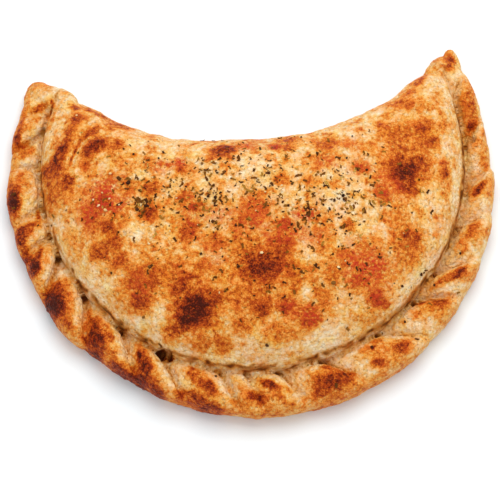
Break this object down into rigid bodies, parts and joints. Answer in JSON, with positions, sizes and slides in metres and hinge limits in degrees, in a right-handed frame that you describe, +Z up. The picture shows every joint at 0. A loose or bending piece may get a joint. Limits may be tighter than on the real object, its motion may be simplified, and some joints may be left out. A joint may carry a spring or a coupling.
{
  "type": "calzone",
  "caption": "Crescent of baked dough folded over a filling, with a domed pocket and a thick rope of twisted folds round its curved edge, lying flat.",
  "frame": {"origin": "on the flat underside, below the middle of the bounding box", "axes": "+X from the left horn to the right horn, +Y from the rope of folds at the front to the folded back, +Z up"},
  "size_m": [0.281, 0.2286, 0.052],
  "materials": {
    "crust": null
  },
  "bodies": {
    "root": {"calzone": "crust"}
  },
  "joints": []
}
